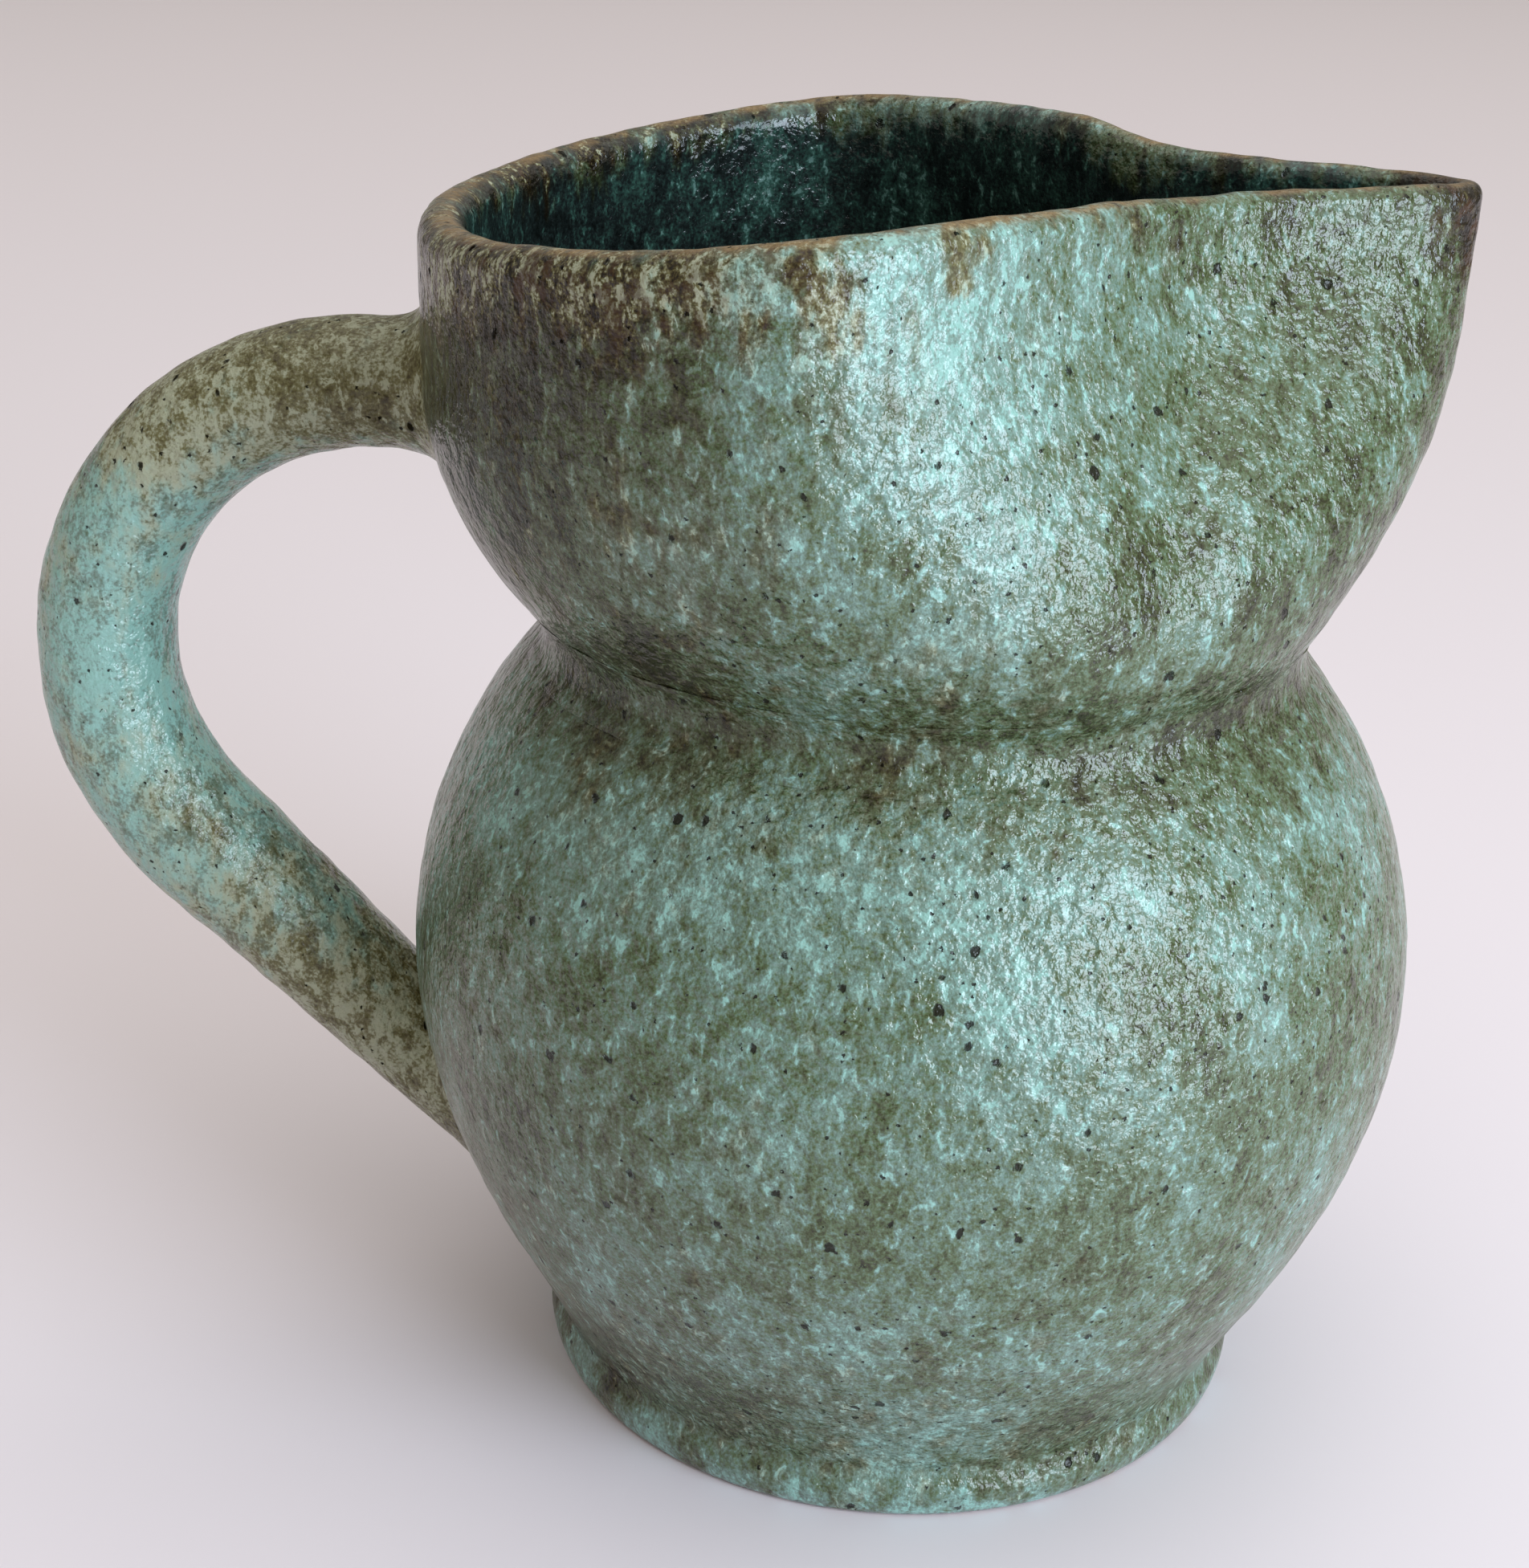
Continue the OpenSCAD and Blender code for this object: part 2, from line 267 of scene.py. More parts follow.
def outer_piece(bm: Drum, drawing: Drawing, name: str, nodes: list[str]) -> Piece:
    """Draws, marks and finishes a piece that lies on the outside of the jug only."""
    draw_piece(bm, drawing)
    mark_rim(bm, lambda v: -FAR_FROM_RIM)
    return finish_piece(bm, name, nodes)


@dataclass
class Foot:
    """The low foot: a ring of clay round the edge of a flat floor."""

    height: float = 9 * MM
    radius: float = 54.5 * MM
    base_radius: float = 52.5 * MM
    neck_radius: float = 52.5 * MM
    floor_radius: float = 49 * MM
    joint_depth: float = 1.3 * MM
    joint_rise: float = 9 * MM
    joint_fall: float = 4.5 * MM
    underside: float = 0.3 * MM
    turns: int = 400
    outer_rows: int = 16
    inner_rows: int = 2
    land_rows: int = 3
    floor_rings: int = 40
    floor_rows: int = 2
    floor_turns: int = 160

    def outside(self, z: float) -> float:
        """Returns the foot's outside radius at a height."""
        middle = self.height / 2
        if z < middle:
            return between(self.base_radius, self.radius, math.sqrt(1 - (1 - z / middle) ** 2))
        return between(self.radius, self.neck_radius, smooth(z / middle - 1)) + self.joint_fill(z)

    def joint_fill(self, z: float) -> float:
        """Returns how much clay fills the crease between the foot and the belly at a height."""
        span = self.joint_rise if z > self.height else self.joint_fall
        away = min(1.0, abs(z - self.height) / span)
        return self.joint_depth * (1 - away) ** 2

    def draw_ring(self, turn: float, radius: float, height: float) -> Vector:
        """Draws the ring: the drum's outer wall at radius 2 and its inner wall at 1."""
        z = height * self.height
        return round_place(turn, between(self.floor_radius, self.outside(z), radius - 1), z)

    def draw_floor(self, turn: float, radius: float, height: float) -> Vector:
        """Draws the floor as a flat disc."""
        return round_place(turn, radius * self.floor_radius, height * self.height)

    def build(self) -> list[Piece]:
        """Makes the foot's ring and its floor, and returns both."""
        cuts = [self.outer_rows, self.land_rows, self.inner_rows, self.land_rows]
        ring = spun_drum(WALL_OUTLINE, cuts, self.turns)
        draw_piece(ring, self.draw_ring)
        mark_rim(ring, lambda v: -FAR_FROM_RIM)
        cuts = [self.floor_rings, self.floor_rows, self.floor_rings]
        disc = spun_drum(ROD_OUTLINE, cuts, self.floor_turns)
        draw_piece(disc, self.draw_floor)
        mark_rim(disc, lambda v: FAR_FROM_RIM if v.co.z > self.height / 2 else -FAR_FROM_RIM)
        for bm in (ring, disc):
            for face in bm.faces:
                if face.calc_center_median().z < self.underside and face.normal.z < 0:
                    face.material_index = Coat.BARE.value
        return [
            finish_piece(ring, "foot_ring_clay", ["foot_ring"]),
            finish_piece(disc, "floor_clay", ["floor_disc"]),
        ]


@dataclass
class Belly:
    """The round belly between the foot and the waist."""

    foot: Foot
    radius: float = 75 * MM
    lower_height: float = 59 * MM
    upper_height: float = 50.5 * MM
    roundness: float = 0.925
    waist_radius: float = 53.5 * MM
    wall: float = 7 * MM
    inner_corner: float = 9 * MM
    turns: int = 440
    outer_rows: int = 124
    inner_rows: int = 60
    land_rows: int = 2

    @property
    def middle(self) -> float:
        """Returns the height of the widest line."""
        return self.foot.height + self.lower_height

    @property
    def waist(self) -> float:
        """Returns the height of the waist."""
        return self.middle + self.upper_height

    def outside(self, z: float) -> float:
        """Returns the belly's outside radius at a height."""
        if z < self.middle:
            drop = min(1.0, (self.middle - z) / self.lower_height)
            tuck = (self.radius - self.foot.neck_radius) * drop ** (2 * self.roundness)
            return self.radius - tuck + self.foot.joint_fill(z)
        span = self.upper_height / math.sqrt(1 - (self.waist_radius / self.radius) ** 2)
        return self.radius * math.sqrt(1 - ((z - self.middle) / span) ** 2)

    def inside(self, z: float) -> float:
        """Returns the belly's inside radius at a height, with a rounded corner at the floor."""
        lift = 1 - min(1.0, (z - self.foot.height) / self.inner_corner)
        return self.outside(z) - self.wall - self.inner_corner * (1 - math.sqrt(1 - lift * lift))

    def on_wall(self, y: float, z: float, gap: float) -> Vector:
        """Returns the place on the handle's side of the belly at a side offset and a height."""
        return Vector((-math.sqrt(self.outside(z) ** 2 - y * y) - gap, y, z))

    def draw(self, turn: float, radius: float, height: float) -> Vector:
        """Draws the wall: the drum's outer wall at radius 2 and its inner wall at 1."""
        z = between(self.foot.height, self.waist, height)
        return round_place(turn, between(self.inside(z), self.outside(z), radius - 1), z)

    def build(self) -> Piece:
        """Makes the belly's wall and returns it."""
        cuts = [self.outer_rows, self.land_rows, self.inner_rows, self.land_rows]
        bm = spun_drum(WALL_OUTLINE, cuts, self.turns)
        inner = bm.verts.layers.float.new("inner_wall")
        for v in bm.verts:
            v[inner] = 1.0 if math.hypot(v.co.x, v.co.y) < MID_WALL else -1.0
        draw_piece(bm, self.draw)
        mark_rim(bm, lambda v: FAR_FROM_RIM * v[inner])
        return finish_piece(bm, "belly_clay", ["belly_wall"])


@dataclass
class Bowl:
    """The open bowl above the waist, its rim pinched into a pouring spout."""

    belly: Belly
    radius: float = 72 * MM
    height: float = 59 * MM
    round_height: float = 38.5 * MM
    rim_rise: float = 8.8 * MM
    rim_rise_length: float = 93 * MM
    spout_dip: float = 2.2 * MM
    spout_dip_length: float = 12 * MM
    rim_sag: float = 0.5 * MM
    near_sag: float = 0.9 * MM
    crest_length: float = 26 * MM
    sag_start: float = -15 * MM
    spout_width: float = 25 * MM
    spout_length: float = 18 * MM
    spout_slant: float = 3 * MM
    pinch_length: float = 77 * MM
    pinch_foot_height: float = 2 * MM
    press_depth: float = 1.8 * MM
    press_width: float = 22 * MM
    press_distance: float = 41 * MM
    spout_wall: float = 4.5 * MM
    turns: int = 440
    outer_rows: int = 68
    lip_rows: int = 13
    inner_rows: int = 48
    land_rows: int = 2
    share_rounds: int = 4
    wall_rounds: int = 3

    def outside(self, rise: float) -> float:
        """Returns the unpinched bowl's outside radius at a height above the waist."""
        span = self.round_height / math.sqrt(1 - (self.belly.waist_radius / self.radius) ** 2)
        return self.radius * math.sqrt(1 - (max(0.0, self.round_height - rise) / span) ** 2)

    def rim_height(self, x: float, y: float) -> float:
        """Returns the rim's height above the waist at a place along and across the jug.

        Hands have pressed the rim down a little all round, most on the near side and not at all on
        the far side of its crest.
        """
        past = x - (self.rim_rise_length - self.radius)
        climb = self.rim_rise * math.sin(math.pi / 2 * min(1.0, 1 + past / self.rim_rise_length))
        fall = smooth(past / self.spout_dip_length)
        aside = 2 * y / self.radius
        crest = smooth(1 + past / self.crest_length)
        near = smooth(-aside) * (crest + smooth((self.sag_start - x) / self.crest_length))
        sag = (1 - fall) * (self.rim_sag * (1 - crest * smooth(aside)) + self.near_sag * near)
        return self.height + climb - self.spout_dip * fall - sag

    def pinch(self, x: float, share: float) -> float:
        """Returns how far the sides are drawn in at a place along the jug and a share of the height."""
        start = self.radius - self.spout_length - self.pinch_length
        rise = (share * self.height - self.pinch_foot_height) / (self.height - self.pinch_foot_height)
        return smooth((x - start) / self.pinch_length) * smooth(rise)

    def press(self, x: float, share: float) -> float:
        """Returns the depth of the finger's groove behind the spout."""
        away = abs(x - self.radius + self.press_distance) / (self.press_width / 2)
        return self.press_depth * 4 * share * (1 - share) * smooth(1 - away)

    def plan(self, turn: float, share: float) -> Vector:
        """Returns the place on the outer plan of the bowl at a turn and a share of its height."""
        full = self.radius - self.spout_length
        drawn = 1 - self.spout_width / 2 / math.sqrt(self.radius**2 - full**2)
        r = self.outside(share * self.height)
        low_bulge = share * (1 - share) ** 3 / (1 / 4 * (3 / 4) ** 3)
        x = r * math.cos(turn) - self.spout_slant * low_bulge * smooth(math.cos(turn))
        y = r * math.sin(turn) * (1 - drawn * self.pinch(x, share))
        return Vector((x, y - math.copysign(self.press(x, share), y)))

    def outward(self, turn: float, share: float) -> Vector:
        """Returns the direction straight out of the bowl's plan."""
        step = 0.01
        along = self.plan(turn + step, share) - self.plan(turn - step, share)
        return Vector((along.y, -along.x)).normalized()

    def thickness(self, turn: float, share: float) -> float:
        """Returns the wall's thickness, which thins out towards the spout."""
        return between(self.belly.wall, self.spout_wall, self.pinch(self.plan(turn, share).x, share))

    def shoulder(self, turn: float, share: float) -> float:
        """Returns the height above the waist at which the lip begins to round over."""
        plan = self.plan(turn, share)
        return self.rim_height(plan.x, plan.y) - self.thickness(turn, 1) / 2

    def wall_at(self, turn: float, rise: float) -> Vector:
        """Returns the place on the outside of the wall at a turn and a height above the waist."""
        share = rise / self.height
        for _ in range(self.share_rounds):
            share = rise / self.shoulder(turn, share)
        plan = self.plan(turn, share)
        return Vector((plan.x, plan.y, self.belly.waist + rise))

    def draw(self, turn: float, radius: float, height: float) -> Vector:
        """Draws the wall: the drum's outer wall at radius 2, its inner wall at 1 and the lip on its top."""
        plan = self.plan(turn, height)
        outward = self.outward(turn, height)
        half_lip = self.thickness(turn, 1) / 2
        depth = 2 - radius
        shoulder = self.rim_height(plan.x, plan.y) - half_lip
        if height > NEARLY_ONE:
            angle = math.pi * depth
            place = plan + outward * half_lip * (math.cos(angle) - 1)
            return Vector((place.x, place.y, self.belly.waist + shoulder + half_lip * math.sin(angle)))
        place = plan - outward * self.thickness(turn, height) * depth
        return Vector((place.x, place.y, self.belly.waist + height * shoulder))

    def on_wall(self, y: float, z: float, gap: float) -> Vector:
        """Returns the place on the handle's side of the bowl at a side offset and a height."""
        r = self.radius
        for _ in range(self.wall_rounds):
            place = self.wall_at(math.pi - math.asin(y / r), z - self.belly.waist)
            r = math.hypot(place.x, place.y)
        return Vector((place.x - gap, y, z))

    def build(self) -> Piece:
        """Makes the bowl's wall with its lip and spout, and returns it."""
        cuts = [self.outer_rows, self.lip_rows, self.inner_rows, self.land_rows]
        bm = spun_drum(WALL_OUTLINE, cuts, self.turns)
        over = bm.verts.layers.float.new("way_over")
        for v in bm.verts:
            inward = MID_WALL - math.hypot(v.co.x, v.co.y)
            below = (1 - v.co.z) * self.height
            v[over] = inward * self.belly.wall + math.copysign(below, inward)
        draw_piece(bm, self.draw)
        mark_rim(bm, lambda v: v[over])
        return finish_piece(bm, "bowl_clay", ["bowl_wall"])


@dataclass
class WaistFillet:
    """The roll of clay pressed into the crease where the bowl stands on the belly."""

    bowl: Bowl
    height: float = 5 * MM
    sunk: float = 0.5 * MM
    edge_sunk: float = 0.12 * MM
    turns: int = 440
    face_rows: int = 18
    back_rows: int = 3

    def draw(self, turn: float, radius: float, height: float) -> Vector:
        """Draws the fillet: its hollow face at the drum's radius 2 and its hidden back at 1."""
        belly = self.bowl.belly
        around = Vector((math.cos(turn), math.sin(turn), 0))
        up = Vector((0, 0, 1))
        low = around * belly.outside(belly.waist - self.height) + up * (belly.waist - self.height)
        top = self.bowl.wall_at(turn, self.height)
        corner = around * belly.waist_radius + up * belly.waist
        face = hollow(low, corner, top, height) - around * self.edge_sunk
        back = bent(low, corner, top, height) - around * self.sunk
        return between(back, face, radius - 1)

    def build(self) -> Piece:
        """Makes the fillet and returns it."""
        bm = spun_drum(WALL_OUTLINE, [self.face_rows, 0, self.back_rows, 0], self.turns)
        return outer_piece(bm, self.draw, "waist_clay", ["waist_fillet"])


@dataclass
class Handle:
    """The rolled coil that loops from the bowl down to the belly."""

    bowl: Bowl
    drop: float = 27.5 * MM
    stub: float = 8 * MM
    bend_radius: float = 42 * MM
    root_drop: float = 31 * MM
    top_thickness: float = 18 * MM
    low_thickness: float = 21 * MM
    neck_thickness: float = 17.5 * MM
    width: float = 21 * MM
    root_rise: float = 23 * MM
    root_fall: float = 15 * MM
    root_width: float = 29 * MM
    run_share: float = 0.62
    flare_power: float = 2.0
    stub_share: float = 0.06
    bend_share: float = 0.62
    sunk: float = 0.4 * MM
    sides: int = 84
    rows: int = 240
    end_rings: int = 2

    @cached_property
    def bend_centre(self) -> Vector:
        """Returns the centre of the bend."""
        belly = self.bowl.belly
        z = belly.waist + self.bowl.height - self.drop - self.bend_radius
        return Vector((-self.bowl.radius - self.stub, 0, z))

    @cached_property
    def root_height(self) -> float:
        """Returns the height at which the coil's middle meets the belly."""
        return self.bowl.belly.middle - self.root_drop

    @cached_property
    def leave(self) -> tuple[float, float]:
        """Finds where the coil leaves its bend on the way to the belly.

        Returns:
            The angle on the bend, and the length of the straight run from there.
        """
        way = self.bowl.belly.on_wall(0, self.root_height, 0) - self.bend_centre
        bearing = math.atan2(way.z, way.x) + FULL_TURN
        angle = bearing - math.acos(self.bend_radius / way.length)
        return angle, math.sqrt(way.length**2 - self.bend_radius**2)

    def upper_root(self, turn: float, reach: float, gap: float) -> Vector:
        """Returns the place on the bowl at a turn round the upper root, spread by a reach."""
        middle = self.bend_centre.z + self.bend_radius
        z = middle + (self.top_thickness / 2 + reach) * math.cos(turn)
        return self.bowl.on_wall((self.width / 2 + reach) * math.sin(turn), z, gap)

    def lower_root(self, turn: float, reach: float, tail: float, gap: float) -> Vector:
        """Returns the place on the belly at a turn round the egg-shaped lower root."""
        down = math.cos(turn)
        fall = self.root_fall + reach + tail if down > 0 else self.root_rise + reach
        y = (self.root_width / 2 + reach) * math.sin(turn)
        return self.bowl.belly.on_wall(y, self.root_height - fall * down, gap)

    def section(self, turn: float, angle: float, run: float, thickness: float) -> Vector:
        """Returns a place on the coil's oval section.

        Args:
            turn: the angle round the coil, 0 on the outside of the bend.
            angle: the angle on the bend.
            run: the length run straight on from there.
            thickness: the coil's thickness.

        Returns:
            The place.
        """
        out = Vector((math.cos(angle), 0, math.sin(angle)))
        along = Vector((-out.z, 0, out.x))
        middle = self.bend_centre + out * self.bend_radius + along * run
        aside = Vector((0, self.width / 2 * math.sin(turn), 0))
        return middle + out * (thickness / 2 * math.cos(turn)) + aside

    def surface(self, turn: float, along: float) -> Vector:
        """Returns the place at a turn round the coil, a share along it from the bowl to the belly."""
        angle, length = self.leave
        quarter = math.pi / 2
        if along < self.stub_share:
            start = self.upper_root(turn, 0, -self.sunk)
            end = self.section(turn, quarter, 0, self.top_thickness)
            return between(start, end, along / self.stub_share)
        if along < self.bend_share:
            bend = (along - self.stub_share) / (self.bend_share - self.stub_share)
            thickness = between(self.top_thickness, self.low_thickness, bend)
            return self.section(turn, between(quarter, angle, bend), 0, thickness)
        run = (along - self.bend_share) / (1 - self.bend_share)
        thickness = between(self.low_thickness, self.neck_thickness, min(1.0, run / self.run_share))
        straight = self.section(turn, angle, run * length, thickness)
        flare = max(0.0, run - self.run_share) / (1 - self.run_share)
        return between(straight, self.lower_root(turn, 0, 0, -self.sunk), flare**self.flare_power)

    def draw(self, turn: float, radius: float, height: float) -> Vector:
        """Draws the coil along a drum of radius 1; a smaller radius lies on its closed ends."""
        place = self.surface(turn, height)
        if radius > NEARLY_ONE:
            return place
        return between(self.surface(0, height) + self.surface(math.pi, height), place * 2, radius) / 2

    def build(self) -> Piece:
        """Makes the coil and returns it."""
        bm = spun_drum(ROD_OUTLINE, [self.end_rings, self.rows, self.end_rings], self.sides)
        return outer_piece(bm, self.draw, "handle_clay", ["handle"])


@dataclass
class RootFillets:
    """The clay smeared round both ends of the handle."""

    handle: Handle
    upper_reach: float = 5.5 * MM
    lower_reach: float = 4 * MM
    tail_reach: float = 7 * MM
    upper_climb: float = 0.05
    lower_climb: float = 0.085
    sunk: float = 0.4 * MM
    edge_sunk: float = 0.5 * MM
    back_inset: float = 0.1
    sides: int = 144
    face_rows: int = 18
    back_rows: int = 3

    def draw_upper(self, turn: float, radius: float, height: float) -> Vector:
        """Draws the upper fillet."""
        wall_edge = self.handle.upper_root(turn, self.upper_reach, -self.edge_sunk)
        corner = self.handle.upper_root(turn, 0, 0)
        coil_edge = self.handle.surface(turn, self.upper_climb)
        return self.smear(wall_edge, corner, coil_edge, radius, height)

    def draw_lower(self, turn: float, radius: float, height: float) -> Vector:
        """Draws the lower fillet, with its tail smeared down the belly."""
        wall_edge = self.handle.lower_root(turn, self.lower_reach, self.tail_reach, -self.edge_sunk)
        corner = self.handle.lower_root(turn, 0, 0, 0)
        coil_edge = self.handle.surface(turn, 1 - self.lower_climb)
        return self.smear(wall_edge, corner, coil_edge, radius, height)

    def smear(
        self, wall_edge: Vector, corner: Vector, coil_edge: Vector, radius: float, height: float
    ) -> Vector:
        """Finds a place on a fillet, whose back is sunk into the clay that it lies on.

        Args:
            wall_edge: the fillet's edge on the wall.
            corner: where the coil meets the wall.
            coil_edge: the fillet's edge on the coil.
            radius: the drum's radius, 2 on the hollow face and 1 on the hidden back.
            height: the share of the way from the wall to the coil.

        Returns:
            The place.
        """
        sink = (corner - (wall_edge + coil_edge) / 2).normalized() * self.sunk
        inner = corner + sink
        start = between(wall_edge, inner, self.back_inset) + sink
        end = between(coil_edge, inner, self.back_inset) + sink
        face = hollow(wall_edge, corner, coil_edge, height)
        return between(bent(start, inner, end, height), face, radius - 1)

    def build(self) -> list[Piece]:
        """Makes both fillets and returns the upper one and the lower one."""
        pieces = []
        parts = (
            ("upper_root_clay", self.draw_upper, "upper_handle_fillet"),
            ("lower_root_clay", self.draw_lower, "lower_handle_fillet"),
        )
        for name, drawing, node in parts:
            bm = spun_drum(WALL_OUTLINE, [self.face_rows, 0, self.back_rows, 0], self.sides)
            pieces.append(outer_piece(bm, drawing, name, [node]))
        return pieces


@dataclass(frozen=True)
class NodeSheet:
    """A node tree being filled in, with short ways to add the nodes that the glazes use."""

    tree: bpy.types.NodeTree

    def put(self, socket: Socket, value: Value) -> None:
        """Links a socket to an output, or gives it a plain value."""
        if isinstance(value, Socket):
            self.tree.links.new(value, socket)
        else:
            socket.default_value = value

    def fill(self, node: bpy.types.Node, **inputs: Value) -> None:
        """Fills in some of a node's inputs by name; an underscore stands for a space."""
        for name, value in inputs.items():
            self.put(node.inputs[name.replace("_", " ")], value)

    def add(self, kind: str, **inputs: Value) -> bpy.types.Node:
        """Adds a node of some kind with its inputs filled in."""
        node = self.tree.nodes.new(kind)
        self.fill(node, **inputs)
        return node

    def sum(self, operation: str, *values: Value) -> Socket:
        """Adds a Math node and returns its output."""
        node = self.tree.nodes.new("ShaderNodeMath")
        node.operation = operation
        for socket, value in zip(node.inputs, values):
            self.put(socket, value)
        return node.outputs[0]

    def ease(self, value: Value, low: float, high: float) -> Socket:
        """Returns a value that eases from 0 at low to 1 at high."""
        node = self.add("ShaderNodeMapRange", Value=value, From_Min=low, From_Max=high)
        node.interpolation_type = "SMOOTHSTEP"
        return node.outputs[0]

    def both(self, first: Value, second: Value) -> Socket:
        """Returns a mask that holds where two masks hold, or one mask weakened to a share."""
        return self.sum("MULTIPLY", first, second)

    def changed(self, value: Value, *changes: tuple[Socket, float]) -> Value:
        """Returns a value after some changes, each of them a mask and what it adds where it is 1."""
        for mask, change in changes:
            value = self.sum("MULTIPLY_ADD", mask, change, value)
        return value

    def blend(self, share: Value, first: Value, second: Value) -> Socket:
        """Returns a colour mixed from two."""
        node = self.tree.nodes.new("ShaderNodeMix")
        node.data_type = "RGBA"
        colours = [s for s in node.inputs if s.type == "RGBA"]
        self.put(node.inputs[0], share)
        self.put(colours[0], first)
        self.put(colours[1], second)
        return next(s for s in node.outputs if s.type == "RGBA")

    def ramp(self, value: Value, stops: tuple[tuple[float, str], ...]) -> Socket:
        """Returns a colour that runs through some stops as the value goes from 0 to 1."""
        return self.steps(value, [(place, linear(colour)) for place, colour in stops]).outputs[0]

    def steps(self, value: Value, stops: list[tuple[float, tuple[float, ...]]]) -> bpy.types.Node:
        """Adds a node that runs through some linear colours as the value goes from 0 to 1."""
        node = self.add("ShaderNodeValToRGB", Fac=value)
        elements = node.color_ramp.elements
        for index, (place, colour) in enumerate(stops):
            element = elements[index] if index < 2 else elements.new(place)
            element.position = place
            element.color = colour
        return node

    def mixture(self, *parts: tuple[float, Socket]) -> Socket:
        """Returns the sum of some cloudy values, each brought to about 0 and given its weight."""
        total = 0.0
        for weight, value in parts:
            total = self.sum("MULTIPLY_ADD", self.sum("SUBTRACT", value, 0.5), weight, total)
        return total


def new_material(name: str) -> tuple[bpy.types.Material, NodeSheet, bpy.types.Node]:
    """Makes a plain material and returns it with the sheet of its nodes and its shader."""
    made = bpy.data.materials.new(name)
    made.use_nodes = True
    return made, NodeSheet(made.node_tree), made.node_tree.nodes["Principled BSDF"]


@dataclass(frozen=True)
class Cloud:
    """A cloudy pattern: its clouds for each metre, and a share below 1 to draw them out upwards."""

    scale: float
    upright: float = 1.0
    detail: float = 3.0
    roughness: float = 0.55
    curl: float = 0.0
    shift: Triple = (0.0, 0.0, 0.0)

    def value(self, sheet: NodeSheet, place: Socket) -> Socket:
        """Builds the pattern at some coordinates and returns its cloudy value, from 0 to 1."""
        drawn = sheet.add("ShaderNodeMapping", Vector=place, Location=self.shift)
        sheet.fill(drawn, Scale=(1, 1, self.upright))
        clouds = sheet.add("ShaderNodeTexNoise", Vector=drawn.outputs[0], Scale=self.scale)
        sheet.fill(clouds, Detail=self.detail, Roughness=self.roughness, Distortion=self.curl)
        return clouds.outputs["Fac"]


@dataclass(frozen=True)
class Pits:
    """Pinholes in the glaze: round specks scattered through space, seen where the surface cuts them."""

    scale: float
    size: float
    share: float
    least: float = 0.5
    spread: float = 0.7
    fray: float = 5.0
    softness: Stretch = (-0.25, 0.35)

    def mask(self, sheet: NodeSheet, place: Socket, ragged: Socket) -> Socket:
        """Builds a mask that is 1 in the specks, with edges that a cloudy value makes ragged."""
        cells = sheet.add("ShaderNodeTexVoronoi", Vector=place, Scale=self.scale)
        chance = sheet.add("ShaderNodeSeparateColor", Color=cells.outputs["Color"])
        chosen = sheet.sum("LESS_THAN", chance.outputs[0], self.share)
        reach = self.size * self.scale
        width = sheet.changed(reach * self.least, (chance.outputs[1], reach * self.spread))
        frayed = sheet.changed(
            cells.outputs["Distance"], (sheet.sum("SUBTRACT", ragged, 0.5), reach * self.fray)
        )
        soft = [reach * edge for edge in self.softness]
        return sheet.both(chosen, sheet.ease(sheet.sum("SUBTRACT", width, frayed), *soft))


@dataclass(frozen=True)
class GlazeField:
    """The pattern that every glaze on the jug shares, as one shader group."""

    patch: Cloud = Cloud(62, 0.8)
    mottle: Cloud = Cloud(260, 0.65)
    fleck: Cloud = Cloud(640, 0.65, detail=4, roughness=0.6, curl=0.6)
    grain: Cloud = Cloud(1900, detail=2, roughness=0.6)
    blotch: Cloud = Cloud(130, 0.5, detail=4, roughness=0.6, shift=(0.3, 0.1, 0.7))
    stain: Cloud = Cloud(420, 0.6, detail=4, roughness=0.6, shift=(0.5, 0.8, 0.3))
    streak: Cloud = Cloud(380, 0.2, shift=(0.9, 0.4, 0.2))
    ripple: Cloud = Cloud(430, roughness=0.5)
    peel: Cloud = Cloud(980, detail=2, roughness=0.5)
    bright_fleck: Stretch = (0.57, 0.67)
    holes: Pits = Pits(scale=260, size=0.55 * MM, share=0.24)
    specks: Pits = Pits(scale=700, size=0.22 * MM, share=0.24)

    def group(self) -> bpy.types.NodeTree:
        """Builds the group and returns it, with the values and masks as its outputs."""
        tree = bpy.data.node_groups.new("verdigris_field", "ShaderNodeTree")
        tree.interface.new_socket("Coordinates", in_out="INPUT", socket_type="NodeSocketVector")
        sheet = NodeSheet(tree)
        place = sheet.add("NodeGroupInput").outputs["Coordinates"]
        patch = self.patch.value(sheet, place)
        mottle = self.mottle.value(sheet, place)
        fleck = self.fleck.value(sheet, place)
        grain = self.grain.value(sheet, place)
        tone = sheet.mixture((1.0, patch), (0.8, mottle), (1.2, fleck), (1.0, grain))
        tone = sheet.changed(tone, (sheet.ease(fleck, *self.bright_fleck), 0.24))
        holes = self.holes.mask(sheet, place, fleck)
        pit = sheet.sum("MAXIMUM", holes, self.specks.mask(sheet, place, grain))
        ripple = self.ripple.value(sheet, place)
        values = {
            "Tone": tone,
            "Blotch": self.blotch.value(sheet, place),
            "Stain": self.stain.value(sheet, place),
            "Streak": self.streak.value(sheet, place),
            "Patch": patch,
            "Pit": pit,
            "Height": sheet.changed(ripple, (self.peel.value(sheet, place), 0.45), (pit, -0.9)),
        }
        for name in values:
            tree.interface.new_socket(name, in_out="OUTPUT", socket_type="NodeSocketFloat")
        sheet.add("NodeGroupOutput", **values)
        return tree


@dataclass(frozen=True)
class Band:
    """How the glaze lies at one height: how pale it is and how brown, each from about 0 to 1."""

    height: float
    pale: float
    brown: float


